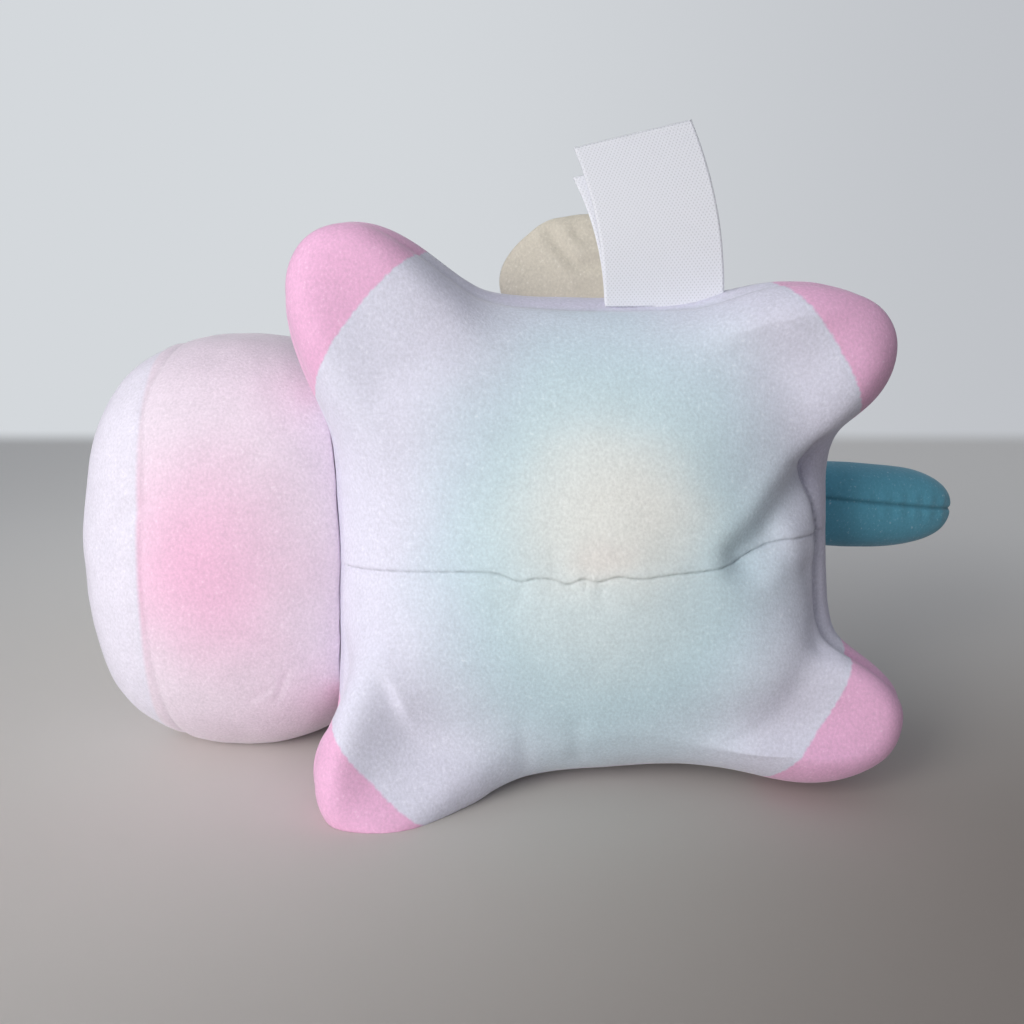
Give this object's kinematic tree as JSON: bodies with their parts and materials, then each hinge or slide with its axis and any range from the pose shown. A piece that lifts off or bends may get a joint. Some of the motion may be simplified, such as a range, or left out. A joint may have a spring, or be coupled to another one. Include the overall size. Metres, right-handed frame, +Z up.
{
  "type": "plush unicorn cat",
  "caption": "Small stuffed plush cat with a horn, two wings, a tail and a sewn-in label, lying on its right side with its belly to the front.",
  "frame": {"origin": "on the surface the toy lies on, under the middle of its body", "axes": "+Z up; the nose points to -X, the belly faces -Y and tips up by 6 degrees, and the toy's left side is up"},
  "size_m": [0.1593, 0.1067, 0.1078],
  "materials": {
    "belly_plush": "short pile velboa, printed in soft pastel fields with pink feet",
    "head_plush": "short pile velboa, printed lilac with a pink field under the chin",
    "ear_plush": "short pile velboa, pink",
    "horn_cloth": "smooth satin cloth wound with thread",
    "wing_plush": "short pile velboa, cream",
    "tail_plush": "short pile velboa, teal",
    "label_ribbon": "white woven ribbon, blank",
    "face_thread": "satin stitch embroidery thread"
  },
  "bodies": {
    "root": {"body": "belly_plush", "head": "head_plush", "ear_left": "ear_plush", "ear_right": "ear_plush", "horn": "horn_cloth", "wing_left": "wing_plush", "wing_right": "wing_plush", "tail": "tail_plush", "care_label": "label_ribbon", "care_label_ply": "label_ribbon", "eye_left": "face_thread", "eye_right": "face_thread", "nose": "face_thread", "mouth": "face_thread"}
  },
  "joints": []
}
